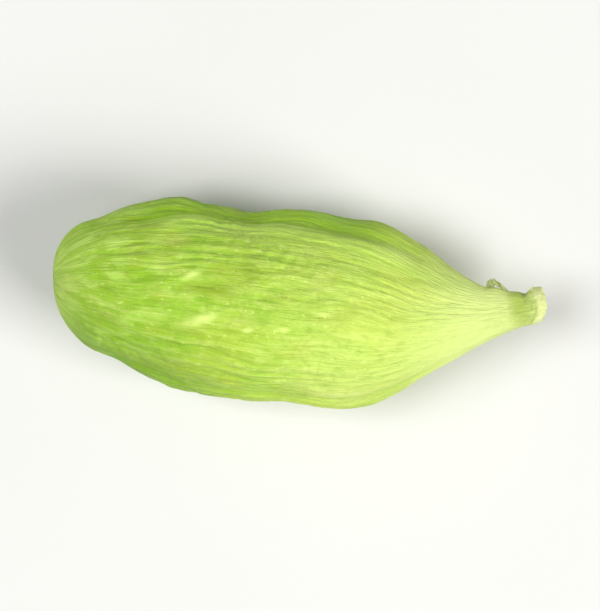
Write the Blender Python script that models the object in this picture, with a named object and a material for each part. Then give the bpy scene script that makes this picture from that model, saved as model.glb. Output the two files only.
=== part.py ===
"""A dried green cardamom pod, lying on the flattest of its three sides.

Metres, +Z up. The pod lies along X, with its blunt end at -X and its neck at +X. The
origin is on the surface that it rests on, under the middle of its bounding box.

The husk grew as one piece, so the whole pod is one closed solid. Its skin is a row of
rings strung on the pod's centre line, from the dimple in the blunt end to the floor of
the small cup in the end of the neck. The three lobes, the furrows between them, the ribs
and the hollows over the seeds are raised from those rings by formula.
"""

import collections
import math
import random

import bpy
import numpy as np

MM = 0.001

# Driving sizes
LENGTH = 19.75 * MM  # of the centre line; the tilted lip reaches a little further
HALF_WIDTH = 4.2 * MM  # from the centre line to the crown of a lobe
HEIGHT_SHARE = 0.94  # height of a section, as a share of its width
NECK_RADIUS = 0.76 * MM

# Outline along the pod, as shares of its length
FULL_FROM = 0.46  # the blunt end swells up to here
FULL_TO = 0.54  # the shoulder narrows from here
NECK_FROM = 0.965  # and has become the neck here
BLUNT_IN, BLUNT_OUT = 2.33, 2.46  # exponents of the blunt end's superellipse
SHOULDER_SKEW = 1.21  # over 1 keeps the shoulder full for longer

# Centre line: the body bellies towards -Y, and the neck curls back towards +Y
BELLY = 0.73 * MM
BELLY_FROM, BELLY_TO = -0.7 * MM, 8.8 * MM
BLUNT_CURL_TO = 2.4 * MM
NECK_CURL_FROM = 14.9 * MM
BLUNT_CURL = -0.024 / MM  # metres of offset per square metre along the end
NECK_CURL = 0.034 / MM
NECK_CURL_UP = 0.018 / MM

# Three lobes, with a furrow between each two. Angles go round X, from +Y towards +Z
FURROWS = (math.radians(30), math.radians(165), math.radians(270))
FURROW_DEPTHS = (0.24 * MM, 0.2 * MM, 0.04 * MM)
FURROW_WIDTH = math.radians(7)
LOBE_SWELL = 0.09  # a lobe's crown over its furrows, as a share of the radius
SWAY = math.radians(16)  # how far the first furrow bows from a straight line
SWAY_CENTRE, SWAY_SPAN = 0.36, 0.37  # shares of the length

# Ribs run from end to end, and join in pairs towards the blunt end and the neck
RIBS = 48
COLUMNS_PER_RIB = 3
RIB_HEIGHT = 0.09 * MM
RIB_ROUNDNESS = 0.6  # under 1 gives a broad crest between narrow grooves
RIB_SPACING_PLAY = 0.22  # share of a rib's width
RIB_HEIGHT_PLAY = 0.45
RIB_SEED = 11
WAVER = math.radians(0.6)  # how far the ribs wander sideways
WAVER_LENGTHS = (5.3 * MM, 3.4 * MM)
JOINED_BEFORE, SEPARATE_FROM = 0.04, 0.16  # shares of the length
SEPARATE_TO, JOINED_AFTER = 0.74, 0.86

# Where the dried husk has sunk between the seeds, or swells over them if depth is negative
Hollow = collections.namedtuple("Hollow", "x, degrees, depth, reach_x, reach_degrees")
HOLLOWS = (
    Hollow(1.65 * MM, 0, 0.22 * MM, 0.65 * MM, 34),
    Hollow(4.3 * MM, 0, -0.19 * MM, 1.0 * MM, 36),
    Hollow(7.5 * MM, 2, 0.32 * MM, 1.5 * MM, 34),
    Hollow(11.6 * MM, 8, 0.27 * MM, 1.1 * MM, 30),
    Hollow(2.95 * MM, 196, 0.21 * MM, 1.0 * MM, 34),
    Hollow(9.65 * MM, 188, 0.18 * MM, 1.0 * MM, 32),
    Hollow(12.9 * MM, 192, -0.17 * MM, 2.2 * MM, 34),
    Hollow(16.2 * MM, 182, 0.21 * MM, 1.7 * MM, 34),
    Hollow(6.6 * MM, 92, 0.13 * MM, 1.2 * MM, 22),
    Hollow(9.7 * MM, 118, -0.09 * MM, 1.8 * MM, 26),
    Hollow(13.4 * MM, 75, 0.12 * MM, 1.7 * MM, 24),
    Hollow(10.8 * MM, 320, 0.14 * MM, 1.5 * MM, 26),
    Hollow(6.0 * MM, 226, 0.13 * MM, 1.3 * MM, 24),
)

# A shred of dried skin stands up from the neck
SHRED_AT = 18.0 * MM
SHRED_ANGLE = math.radians(14)
SHRED_HEIGHT = 0.4 * MM
SHRED_LENGTH, SHRED_WIDTH = 0.34 * MM, math.radians(20)

# Neck's rolled lip, and the cup inside it
LIP_RADIUS = 0.2 * MM
LIP_MIDDLE = 0.63 * MM  # from the neck's axis to the middle of the lip
CUP_DEPTH = 0.75 * MM
CUP_TAPER = 0.75  # floor's radius over the mouth's

# The dimple in the blunt end
DIMPLE_RADIUS = 0.22 * MM
DIMPLE_DEPTH = 0.12 * MM

# The spot that the pod rests on
FLAT_SPOT_DEPTH = 0.13 * MM
PRESSED_WIDTH = math.radians(30)  # the ribs are pressed flat this far round from below
PRESSED_SHARE = 0.8  # of their height

# Rings of the skin
FIRST_RING_SHARE = 0.16
BLUNT_RINGS = 6
BODY_RINGS = 30
NECK_RINGS = 9
LIP_RINGS = 4

HUSK_GREEN = (0.42, 0.62, 0.1, 1.0)
HUSK_ROUGHNESS = 0.55


def smooth(t):
    """0 before 0, 1 after 1, and an S-curve between."""
    t = np.clip(t, 0.0, 1.0)
    return t * t * (3 - 2 * t)


def window(t, rise_from, rise_to, fall_from, fall_to):
    """1 in the middle of the pod, fading to 0 towards both of its ends."""
    rising = smooth((t - rise_from) / (rise_to - rise_from))
    return rising * (1 - smooth((t - fall_from) / (fall_to - fall_from)))


def bell(distance, reach):
    return np.exp(-((distance / reach) ** 2))


def turn_between(angle, other):
    """The signed turn from one angle to another, from -pi to pi."""
    return (angle - other + math.pi) % (2 * math.pi) - math.pi


def half_width(x):
    """The pod's half width at this distance from its blunt end."""
    t = x / LENGTH
    if t < FULL_FROM:
        swell = 1 - (1 - t / FULL_FROM) ** BLUNT_IN
        return HALF_WIDTH * swell ** (1 / BLUNT_OUT)
    narrowing = min(1.0, max(0.0, (t - FULL_TO) / (NECK_FROM - FULL_TO)))
    fullness = (1 + math.cos(math.pi * narrowing**SHOULDER_SKEW)) / 2
    return NECK_RADIUS + (HALF_WIDTH - NECK_RADIUS) * fullness


def centre(x):
    """The point of the centre line at this distance from the blunt end."""
    belly = BELLY * smooth((x - BELLY_FROM) / (BELLY_TO - BELLY_FROM))
    blunt_end = max(0.0, BLUNT_CURL_TO - x) ** 2
    neck = max(0.0, x - NECK_CURL_FROM) ** 2
    y = BLUNT_CURL * blunt_end + NECK_CURL * neck - belly
    return np.array([x, y, NECK_CURL_UP * neck])


def ring_axes(x):
    """Two directions square to the centre line at x, one level and one upright."""
    step = 0.01 * MM
    along = centre(x + step) - centre(x - step)
    along /= np.linalg.norm(along)
    level = np.cross((0, 0, 1), along)
    level /= np.linalg.norm(level)
    return level, np.cross(along, level)


def rib_columns():
    """For each column of the skin: its angle, its place across its rib and across its
    pair of ribs, from 0 to 1, and how tall its rib stands."""
    draw = random.Random(RIB_SEED)
    play = [draw.uniform(-RIB_SPACING_PLAY, RIB_SPACING_PLAY) for _ in range(RIBS)]
    grooves = [(rib + play[rib]) * 2 * math.pi / RIBS for rib in range(RIBS)]
    grooves.append(grooves[0] + 2 * math.pi)
    columns = []
    for rib in range(RIBS):
        tallness = 1 - RIB_HEIGHT_PLAY * draw.random()
        for column in range(COLUMNS_PER_RIB):
            across = column / COLUMNS_PER_RIB
            angle = grooves[rib] + (grooves[rib + 1] - grooves[rib]) * across
            across_pair = (across + rib % 2) / 2
            columns.append((angle, across, across_pair, tallness))
    return np.array(columns).T


def crest(across):
    """A rib's cross-section: 0 in the grooves at 0 and 1, and 1 at its crest."""
    return np.sin(math.pi * across) ** RIB_ROUNDNESS


def swayed(angle, x):
    """The angle that a rib has at x: they wander, and those near the first furrow bow."""
    bow = ((x / LENGTH - SWAY_CENTRE) / SWAY_SPAN) ** 2
    nearness = (1 + np.cos(angle - FURROWS[0])) / 2
    long_wave, short_wave = (2 * math.pi * x / length for length in WAVER_LENGTHS)
    waver = np.sin(long_wave + 2 * angle) + 0.6 * np.sin(short_wave + 5 * angle)
    return angle + SWAY * min(bow, 1.0) * nearness**2 + WAVER * waver


def lobes(angle, x):
    """The share of the radius that the furrows leave between the crowns of the lobes."""
    share = np.zeros_like(angle)
    for k, furrow in enumerate(FURROWS):
        span = (FURROWS[(k + 1) % len(FURROWS)] - furrow) % (2 * math.pi)
        across = ((angle - furrow) % (2 * math.pi)) / span
        share += np.where(across < 1, np.sin(math.pi * across) ** 2, 0)
    return 1 - LOBE_SWELL * (1 - share) * window(x / LENGTH, 0.0, 0.18, 0.7, 0.93)


def furrow_relief(x, angle):
    height = np.zeros_like(angle)
    for furrow, depth in zip(FURROWS, FURROW_DEPTHS):
        height -= depth * bell(turn_between(angle, furrow), FURROW_WIDTH)
    return height * window(x / LENGTH, 0.03, 0.2, 0.72, 0.93)


def rib_relief(x, angle, columns):
    """The ribs' crests are at 0, and the grooves between them below it."""
    _, across, across_pair, tallness = columns
    t = x / LENGTH
    apart = window(t, JOINED_BEFORE, SEPARATE_FROM, SEPARATE_TO, JOINED_AFTER)
    shape = crest(across) * apart + crest(across_pair) * (1 - apart)
    below = bell(turn_between(angle, 1.5 * math.pi), PRESSED_WIDTH)
    pressed = PRESSED_SHARE * below * window(t, 0.12, 0.3, 0.58, 0.75)
    slimming = min(1.0, half_width(x) / (0.5 * HALF_WIDTH))
    return RIB_HEIGHT * slimming * tallness * (shape - 1) * (1 - pressed)


def hollow_relief(x, angle):
    height = np.zeros_like(angle)
    for hollow in HOLLOWS:
        turn = turn_between(angle, math.radians(hollow.degrees))
        around = bell(turn, math.radians(hollow.reach_degrees))
        height -= hollow.depth * bell(x - hollow.x, hollow.reach_x) * around
    return height


def shred_relief(x, angle):
    around = bell(turn_between(angle, SHRED_ANGLE), SHRED_WIDTH)
    return SHRED_HEIGHT * bell(x - SHRED_AT, SHRED_LENGTH) * around


def plain_ring(x, radius, angle):
    """Points round the centre line at x, at this radius: one number, or one for each."""
    level, upright = ring_axes(x)
    sideways = (radius * np.cos(angle))[:, None] * level
    upwards = (radius * np.sin(angle) * HEIGHT_SHARE)[:, None] * upright
    return centre(x) + sideways + upwards


def skin_ring(x, columns):
    """The points of the pod's skin at x, one for each column."""
    angle = swayed(columns[0], x)
    relief = furrow_relief(x, angle) + hollow_relief(x, angle) + shred_relief(x, angle)
    relief += rib_relief(x, angle, columns)
    return plain_ring(x, half_width(x) * lobes(angle, x) + relief, angle)


def pod_rings():
    """Every ring from the dimple to the floor of the cup. Those of the blunt end, the
    neck and the cup have half as many columns."""
    columns = rib_columns()
    halved = columns[:, ::2]
    body_from = JOINED_BEFORE * LENGTH
    body_to = JOINED_AFTER * LENGTH
    lip_x = LENGTH - LIP_RADIUS
    mouth_radius = LIP_MIDDLE - LIP_RADIUS

    dimple = plain_ring(DIMPLE_DEPTH, DIMPLE_RADIUS, swayed(halved[0], 0.0))
    rings = [dimple]
    # The blunt end is round, so x grows with the square of the ring's number.
    for share in np.linspace(FIRST_RING_SHARE, 1, BLUNT_RINGS, endpoint=False):
        rings.append(skin_ring(body_from * share**2, halved))
    for x in np.linspace(body_from, body_to, BODY_RINGS):
        rings.append(skin_ring(x, columns))
    for x in np.linspace(body_to, lip_x - LIP_RADIUS, NECK_RINGS + 1)[1:]:
        rings.append(skin_ring(x, halved))
    for roll in np.linspace(0, math.pi, LIP_RINGS):
        x = lip_x + LIP_RADIUS * math.sin(roll)
        radius = LIP_MIDDLE + LIP_RADIUS * math.cos(roll)
        rings.append(plain_ring(x, radius, swayed(halved[0], x)))
    floor_x = LENGTH - CUP_DEPTH
    rings.append(plain_ring(floor_x, CUP_TAPER * mouth_radius, swayed(halved[0], floor_x)))
    return rings


def faces_between(first, second):
    """Faces that join two rings, given as ranges of point numbers. One of the rings may
    have twice as many points as the other."""
    fine, coarse = (first, second) if len(first) >= len(second) else (second, first)
    halving = len(fine) > len(coarse)
    faces = []
    for k, a in enumerate(coarse):
        b = coarse[(k + 1) % len(coarse)]
        if halving:
            p, q, r = (fine[(2 * k + step) % len(fine)] for step in range(3))
            faces += [[p, q, a], [q, b, a], [q, r, b]]
        else:
            faces.append([fine[k], fine[(k + 1) % len(fine)], b, a])
    if fine is second:
        faces = [face[::-1] for face in faces]
    return faces


def faces_closing(ring, hub):
    """Triangles from each side of a ring to one point in its middle."""
    return [[hub, a, ring[(k + 1) % len(ring)]] for k, a in enumerate(ring)]


def set_down(points):
    """The points moved over the origin, with the lowest of them pressed into a flat spot."""
    lowest = points[:, 2].min() + FLAT_SPOT_DEPTH
    points[:, 2] = np.maximum(points[:, 2] - lowest, 0.0)
    middle = (points.min(axis=0) + points.max(axis=0)) / 2
    points[:, :2] -= middle[:2]
    return points


def pod_mesh():
    """The closed skin of the pod."""
    rings = pod_rings()
    ends = np.cumsum([len(ring) for ring in rings]).tolist()
    ranges = [range(end - len(ring), end) for ring, end in zip(rings, ends)]
    dimple_hub, cup_hub = ends[-1], ends[-1] + 1
    middles = [rings[0].mean(axis=0), rings[-1].mean(axis=0)]
    points = set_down(np.vstack(rings + [middles]))

    faces = [face[::-1] for face in faces_closing(ranges[0], dimple_hub)]
    for first, second in zip(ranges, ranges[1:]):
        faces += faces_between(first, second)
    faces += faces_closing(ranges[-1], cup_hub)
    mesh = bpy.data.meshes.new("pod")
    mesh.from_pydata(points.tolist(), [], faces)
    mesh.shade_smooth()
    return mesh


def husk_material():
    material = bpy.data.materials.new("dried_husk")
    material.use_nodes = True
    shader = material.node_tree.nodes["Principled BSDF"]
    shader.inputs["Base Color"].default_value = HUSK_GREEN
    shader.inputs["Roughness"].default_value = HUSK_ROUGHNESS
    shader.inputs["Metallic"].default_value = 0.0
    return material


def main():
    for leftover in list(bpy.data.objects):
        bpy.data.objects.remove(leftover)
    mesh = pod_mesh()
    mesh.materials.append(husk_material())
    pod = bpy.data.objects.new("pod", mesh)
    bpy.context.scene.collection.objects.link(pod)


main()
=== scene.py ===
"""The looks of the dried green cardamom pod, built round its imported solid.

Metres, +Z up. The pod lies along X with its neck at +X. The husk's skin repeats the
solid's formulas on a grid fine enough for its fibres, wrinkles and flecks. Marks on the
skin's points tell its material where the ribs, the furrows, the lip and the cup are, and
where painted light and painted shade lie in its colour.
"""

import math
import random

import bpy
import numpy as np
from mathutils import Matrix, Vector


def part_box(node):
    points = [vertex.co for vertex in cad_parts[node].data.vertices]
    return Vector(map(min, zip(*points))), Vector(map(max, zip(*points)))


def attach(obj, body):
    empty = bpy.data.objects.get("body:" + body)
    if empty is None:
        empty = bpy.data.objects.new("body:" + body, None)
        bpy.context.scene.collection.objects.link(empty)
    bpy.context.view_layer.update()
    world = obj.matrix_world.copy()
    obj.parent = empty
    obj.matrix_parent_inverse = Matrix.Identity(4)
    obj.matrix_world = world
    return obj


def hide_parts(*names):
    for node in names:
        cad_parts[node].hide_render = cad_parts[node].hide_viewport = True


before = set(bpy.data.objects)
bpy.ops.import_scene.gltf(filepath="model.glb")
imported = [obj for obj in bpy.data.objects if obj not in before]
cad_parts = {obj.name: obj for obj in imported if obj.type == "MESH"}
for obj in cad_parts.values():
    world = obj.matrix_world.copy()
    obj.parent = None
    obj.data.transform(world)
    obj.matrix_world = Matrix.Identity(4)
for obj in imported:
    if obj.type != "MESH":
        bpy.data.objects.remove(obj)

MM = 0.001

# A stretch of the pod is four shares of its length: something rises between the first two
# and falls between the last two. These two stand for no rise and for no fall
FROM_START, TO_END = (-1, 0), (2, 3)
ALL_ALONG = (*FROM_START, *TO_END)
# A soft area of the husk is its strength, its angle and its reach round the pod in degrees,
# and its stretch. Angles go round X, from +Y towards +Z
ALL_ROUND = math.inf  # the reach of an area with no middle

# Driving sizes, as in the solid except where a comment says otherwise
LENGTH = 19.75 * MM  # of the centre line
HALF_WIDTH = 4.2 * MM  # from the centre line to the crown of a lobe
HEIGHT_SHARE = 0.94  # height of a section, as a share of its width
NECK_RADIUS = 0.76 * MM
FULL_FROM, FULL_TO, NECK_FROM = 0.46, 0.54, 0.965  # shares of the length
BLUNT_IN, BLUNT_OUT = 2.33, 2.46  # exponents of the blunt end's superellipse
SHOULDER_SKEW = 1.21
BELLY = 0.73 * MM
BELLY_FROM, BELLY_TO = -0.7 * MM, 8.8 * MM
BLUNT_CURL_TO = 2.4 * MM
NECK_CURL_FROM = 14.9 * MM
BLUNT_CURL = -0.024 / MM
NECK_CURL = 0.034 / MM
NECK_CURL_UP = 0.018 / MM
FURROWS = (math.radians(30), math.radians(165), math.radians(270))
FURROW_DEPTHS = (0.19 * MM, 0.19 * MM, 0.04 * MM)  # the first two shallower than the solid's
FURROW_SHADES = (0.55, 0.35, 0.2)  # how much greener and darker each is: painted shade in the furrow
FURROW_WIDTH = math.radians(9)  # wider and softer than the solid's
FURROW_RISE = (0.03, 0.2)  # where each begins, as shares of the length
FURROW_ENDS = ((0.6, 0.8), (0.72, 0.93), (0.72, 0.93))  # and where each fades out
# The first furrow strays towards +Y, and ends sooner than the solid's
FURROW_STRAY = math.radians(15)
STRAY_RISE, STRAY_FALL = (2.5 * MM, 6.0 * MM), (7.2 * MM, 13.0 * MM)
LOBE_SWELL = 0.09
LOBE_STRETCH = (0.0, 0.18, 0.7, 0.93)
SWAY = math.radians(16)
SWAY_CENTRE, SWAY_SPAN = 0.36, 0.37
RIBS = 48
RIB_HEIGHT = 0.09 * MM
RIB_ROUNDNESS = 1.9  # softer grooves than the solid's, which has fewer columns to a rib
RIB_SPACING_PLAY = 0.22
RIB_HEIGHT_PLAY = 0.45
RIB_SEED = 11
WAVER = math.radians(0.6)
WAVER_LENGTHS = (5.3 * MM, 3.4 * MM)
SHORT_WAVER = 0.6  # as a share of the long one
JOINED_BEFORE, SEPARATE_FROM = 0.04, 0.16
SEPARATE_TO, JOINED_AFTER = 0.74, 0.86
# Where the dried husk has sunk, or swells if the depth is negative. Each: place along the
# pod, angle, depth, and reach along and round the pod, in millimetres and degrees
HOLLOWS = (
    (1.65, 0, 0.22, 0.65, 34),
    (4.3, 0, -0.19, 1.0, 36),
    (7.5, 2, 0.32, 1.5, 34),
    (11.6, 8, 0.27, 1.1, 30),
    (2.95, 196, 0.21, 1.0, 34),
    (9.65, 188, 0.18, 1.0, 32),
    (12.9, 192, -0.17, 2.2, 34),
    (16.2, 182, 0.21, 1.7, 34),
    (6.6, 92, 0.13, 1.2, 22),
    (9.7, 118, -0.09, 1.8, 26),
    (13.4, 75, 0.12, 1.7, 24),
    (10.8, 320, 0.14, 1.5, 26),
    (6.0, 226, 0.13, 1.3, 24),
)
LIP_RADIUS = 0.2 * MM
LIP_LENGTH = 0.3 * MM  # of its roll, which is rounder than the solid's
LIP_MIDDLE = 0.63 * MM
CUP_DEPTH = 0.75 * MM
CUP_TAPER = 0.75
DIMPLE_RADIUS = 0.22 * MM
DIMPLE_DEPTH = 0.12 * MM
FLAT_SPOT_DEPTH = 0.13 * MM
PRESSED_WIDTH = math.radians(30)
PRESSED_SHARE = 0.8
PRESSED_STRETCH = (0.12, 0.3, 0.58, 0.75)
SLIM_UNDER = 0.5  # share of the full width under which the relief is lower

# Grid of the fine skin
COLUMNS_PER_RIB = 8
DIMPLE_RINGS = 7
BLUNT_RINGS = 26
BLUNT_TO = 1.5 * MM  # half as many columns before here
FIRST_RING = 0.02 * MM
BODY_RINGS = 205
NECK_FROM_X = 17.2 * MM  # half as many columns from here
NECK_TO_X = LENGTH - 1.5 * LIP_LENGTH
NECK_RINGS = 40
LIP_RINGS = 16
CUP_RINGS = 8
FLOOR_RINGS = 4

# Fine relief of the skin: height, then spacing along the pod and number round it
RELIEF_SEED = 5
RIB_DRIFT = 0.46  # how far a rib strays, as a share of its width
RIB_DRIFT_STEP, RIB_DRIFTS_ROUND = 1.4 * MM, 41
RIB_FADE = 0.95  # how much of its height a rib gains and loses on its way
RIB_FADE_STEP, RIB_FADES_ROUND = 1.1 * MM, 57
RIB_CALM = 0.6  # how much lower the ribs are in the smoother patches of the husk
RIB_CALM_STEP, RIB_CALMS_ROUND = 3.1 * MM, 9
BLUNT_RIBS = 0.2  # share of their height that the ribs have at the very end
RIBS_FROM = 0.9 * MM  # they have grown out of the smooth blunt end here
TAUTNESS = 0.85  # how much lower the ribs are where the skin is drawn tightest
# Where it is drawn tight: both sides of the shoulder, and less so above on the blunt half
TIGHT_AREAS = (
    (1.0, 145, 72, (0.42, 0.64, *TO_END)),
    (1.0, 42, 40, (0.5, 0.7, *TO_END)),
    (0.5, 70, 28, (*FROM_START, 0.28, 0.46)),
    (0.35, 140, 28, (*FROM_START, 0.28, 0.46)),
)
FIBRE_HEIGHT = 0.016 * MM
FIBRE_STEP, FIBRES_ROUND = 1.1 * MM, 176
CRINKLE_HEIGHT = 0.011 * MM
CRINKLE_STEP, CRINKLES_ROUND = 0.3 * MM, 72
DENT_HEIGHT = 0.055 * MM
DENT_STEP, DENTS_ROUND = 1.1 * MM, 21
PUCKER_DEPTH = 0.055 * MM  # short valleys that run across the ribs, in patches
PUCKER_SHARPNESS = 3
PUCKER_STEP, PUCKERS_ROUND = 0.36 * MM, 40
PUCKER_PATCH_STEP, PUCKER_PATCHES_ROUND = 2.2 * MM, 10
PUCKER_BEND = 0.3 * MM  # how far they stray along the pod
PUCKER_STRETCH = (0.02, 0.1, 0.45, 0.75)

# Painted shade in green on the lobe beyond the first furrow: the strength and stretch of each
# part, and how far past the furrow, in radians, it rises and falls again
BACK_LOBE_SHADES = ((0.2, (0.04, 0.2, 0.4, 0.5)), (0.65, (0.3, 0.46, 0.62, 0.8)))
BACK_LOBE_SHADE_ACROSS = (math.radians(-4.8), math.radians(11.2), 0.9, 2.1)
# Painted highlights: on the crown's edge, with its angle from the first furrow, and the blunt
# end
CROWN_EDGE_HIGHLIGHT = (0.55, 19, 10, (0.16, 0.26, 0.66, 0.8))
BLUNT_END_PAINTED_LIGHT = (0.36, 0, ALL_ROUND, (*FROM_START, 0.02, 0.13))
# Painted shade in darker green: low down at the back, most on the blunt half, and on the
# blunt end's front
SHADE_AT_BACK, SHADE_ON_BLUNT_HALF = 0.14, 0.2
SHADED_BLUNT_HALF = (0.04, 0.14, 0.36, 0.46)
SHADED_BACK = (1.0, -14, 24, (0.02, 0.15, 0.75, 0.92))
SHADED_FRONT = (0.52, 168, 50, (0.0, 0.08, 0.26, 0.44))
# Paler areas: towards the neck, partly the husk's own colour and partly painted light; and
# painted light at the blunt end and on the front of the shoulder
PALER_AND_LIT_AREAS = (
    (0.38, 0, ALL_ROUND, (0.22, 0.7, *TO_END)),
    (0.12, 0, ALL_ROUND, (*FROM_START, 0.0, 0.11)),
    (0.3, 138, 36, (0.46, 0.58, 0.74, 0.92)),
)
SHADE_OVER_PALING = 1.8  # how much of the paler colour a full painted shade takes away
NECK_PALENESS = 0.8
NECK_PALE_RISE = (0.66, 0.9)  # shares of the length
# The neck's +Y side keeps painted shade in green
NECK_SHADED_SIDE = (0.06, 20, 50, ALL_ALONG)  # how much later it rises on the +Y side
BAND_STRENGTH = 0.8
BAND_RISE = (18.2 * MM, 18.8 * MM)
BAND_FADE, BAND_FADE_AT = 0.6, (19.0 * MM, 19.3 * MM)
BAND_PALER_SIDE = (0.6, 180, 60, ALL_ALONG)
DIMPLE_SHADE, DIMPLE_SHADE_TO = 0.6, 0.8  # and the share of the first ring's radius it reaches

# Marks seen from above, in millimetres and degrees from the X axis. Slivers of skin that
# have lifted along a rib: centre x and y, half length, half width, height and turn
FLECKS = (
    (-4.32, 0.93, 0.34, 0.12, 0.04, 22),
    (-3.72, -0.75, 0.5, 0.16, 0.05, 20),
    (-2.0, -1.1, 0.2, 0.09, 0.03, 8),
    (-0.55, -1.0, 0.16, 0.09, 0.02, 4),
    (0.9, -0.3, 0.3, 0.08, 0.02, -3),
)
# Paler patches of skin, and darker ones (below 0), partly blotches of the skin's own colour
# and partly painted light and painted shade: centre x and y, half length, half width, how much
# paler, and turn
PATCHES_AND_PAINTED_LIGHT = (
    (-4.0, -0.9, 0.98, 0.38, 0.45, 14),
    (-5.5, 1.1, 0.43, 0.49, 0.45, 44),
    (-5.2, 2.2, 0.54, 0.22, 0.4, 4),
    (-3.7, 0.4, 0.98, 0.26, -0.5, -1),
    (-2.8, 0.9, 1.95, 0.76, -0.3, 4),
    (-2.0, -0.5, 0.33, 0.38, 0.35, 64),
    (-9.3, 0.3, 0.43, 0.76, 0.5, 4),
    (-9.4, 2.1, 0.43, 0.65, -0.4, 49),
    (-6.3, 1.6, 0.43, 0.22, -0.5, 4),
    (-2.0, 1.2, 0.38, 0.33, -0.28, 4),
    (-0.5, 0.2, 0.98, 0.16, -0.4, 1),
    (-7.7, -0.4, 1.09, 0.21, 0.4, -8),
    (-7.7, -0.9, 0.87, 0.2, -0.4, -16),
    (-8.4, 0.2, 0.87, 0.43, 0.35, -6),
    (-8.4, 1.3, 0.87, 0.16, -0.35, 7),
    (-2.3, 2.8, 1.41, 0.18, 0.4, 1),
    (3.7, 2.2, 0.87, 0.28, 0.9, -20),
    (4.6, 1.2, 1.52, 0.21, -0.5, -5),
    (-0.4, -2.6, 1.09, 0.24, 0.35, 2),
    (2.1, -3.5, 1.19, 0.28, 1.0, 6),
    (1.4, -0.4, 1.09, 0.26, -0.4, 3),
    (4.0, -0.3, 1.09, 0.26, -0.3, 3),
    (3.3, 0.6, 2.71, 0.22, 0.3, -2),
    (0.9, 0.7, 0.76, 0.33, 0.25, 0),
    (0.4, 2.1, 0.87, 0.27, 0.3, -4),
    (7.5, 0.7, 0.98, 0.43, 0.9, -4),
)
# Cracks along the top: from x to x, y, half width, depth
CREASES = (
    (-5.6, -2.4, 0.55, 0.09, 0.04),
    (-5.0, -3.4, 0.15, 0.08, 0.03),
    (-1.4, 1.4, 0.68, 0.09, 0.03),
)
CREASE_END = 0.6 * MM  # over which its ends run out
CREASE_WANDER, CREASE_WAVE = 0.08 * MM, 0.55 * MM
FLECKS_ABOVE = (3.5 * MM, 5.0 * MM)  # heights over which flecks and cracks set in
PATCHES_ABOVE = (1.5 * MM, 3.0 * MM)

# Neck: waisted behind the lip, most of all on its +Y side
WAIST_AT, WAIST_LENGTH, WAIST_DEPTH = 18.85 * MM, 0.45 * MM, 0.05 * MM
UNDERCUT_AT, UNDERCUT_LENGTH, UNDERCUT_DEPTH = 19.1 * MM, 0.17 * MM, 0.16 * MM
UNDERCUT_ANGLE, UNDERCUT_WIDTH = math.radians(12), math.radians(48)
# Painted shade in the deepest of the undercut, laid on with the cup's brown
UNDERCUT_SHADE = 0.75
UNDERCUT_SHADE_AT, UNDERCUT_SHADE_LENGTH = UNDERCUT_AT + 0.06 * MM, 0.11 * MM
FLARE_FROM, FLARE_LENGTH, FLARE_HEIGHT = 18.95 * MM, 0.5 * MM, 0.05 * MM

# Lip: a rolled edge that was torn unevenly, and is pinched at its two sides. It stands
# furthest out above, and its -Y side lies further back than its +Y side
LIP_FROM = math.radians(-25)  # where its roll leaves the neck
LIP_PALE_FROM, LIP_PALE_TO = math.radians(-25), math.radians(8)  # where its roll turns pale
LIP_PALE_EARLIER = math.radians(20)  # on its two sides
LIP_BROWN_FROM = 0.62  # share of a half turn past which it takes on the cup's brown
LIP_UNEVENNESS = 0.1
LIP_LUMPS_ROUND = 9
LIP_TEARS = 0.09  # as a share of its radius
LIP_TEARS_ROUND = 40
LIP_BULGE_ABOVE, LIP_BULGE_BELOW = 0.24 * MM, 0.02 * MM
LIP_TILT, LIP_BACK = 0.165 * MM, 0.1 * MM
TILT_FROM, TILT_LENGTH = 18.1 * MM, 1.1 * MM
LIP_PINCH = 0.11 * MM
CUP_FLOOR_RISE = 0.06 * MM

# The shred of skin on the neck
SHRED_AT = 18.0 * MM
SHRED_ANGLE = math.radians(14)
SHRED_SWELL = 0.1 * MM  # of the neck's own skin, under the shred
SHRED_LENGTH, SHRED_WIDTH = 0.34 * MM, math.radians(20)
SHRED_FROM, SHRED_TO = 17.6 * MM, 18.48 * MM
SHRED_TALL = 0.42 * MM
SHRED_STRIP = 0.23 * MM  # width of the strip that its free end narrows to
SHRED_ROOT = 0.04 * MM  # how far it reaches into the neck
SHRED_THICKNESS = 0.022 * MM
SHRED_ROWS, SHRED_COLUMNS = 8, 41
SHRED_SKEW, SHRED_ROUNDNESS = 0.8, 0.85  # exponents of its arch
SHRED_TEARS = ((0.04, 19, 0), (0.03, 41, 1))  # share of its height, waves, and their start
SHRED_FREE = (0.2, 0.5)  # where it leaves the neck, as shares of its length
SHRED_LEAN = 0.03 * MM  # of its outer edge, towards the blunt end
SHRED_SLOPE = 0.3  # how much it rises as it stands out sideways
SHRED_CURL = 0.09 * MM  # of its outer edge, upwards
SHRED_RIPPLE = 0.02 * MM

# Frayed fibres at the lip. Where a range is given, each fibre has a random value in it
FRAYS = 7
FRAY_SEED = 4
FRAY_POINTS, FRAY_SIDES = 8, 6
FRAY_RADIUS = 0.018 * MM
FRAY_TAPER = 0.75
FRAY_FROM_END = (0.25 * MM, 0.6 * MM)
FRAY_LENGTH = (0.08 * MM, 0.2 * MM)
FRAY_CURL = (math.radians(-30), math.radians(30))
FRAY_RISE = (0.25, 0.7)  # share of its length that stands off the neck
FRAY_REACH = 1.2  # how far the rest of it runs along the neck, as a share
FRAY_LIFT = 0.04 * MM  # of its root

# Photograph's view: straight down, with the pod's axis a little off level
AXIS_SLOPE = math.radians(3.65)
POD_FILLS = 0.83  # share of the picture's width
PICTURE_WIDTH, PICTURE_HEIGHT = 600, 611
LENS = 200.0
SENSOR = 36.0

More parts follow.
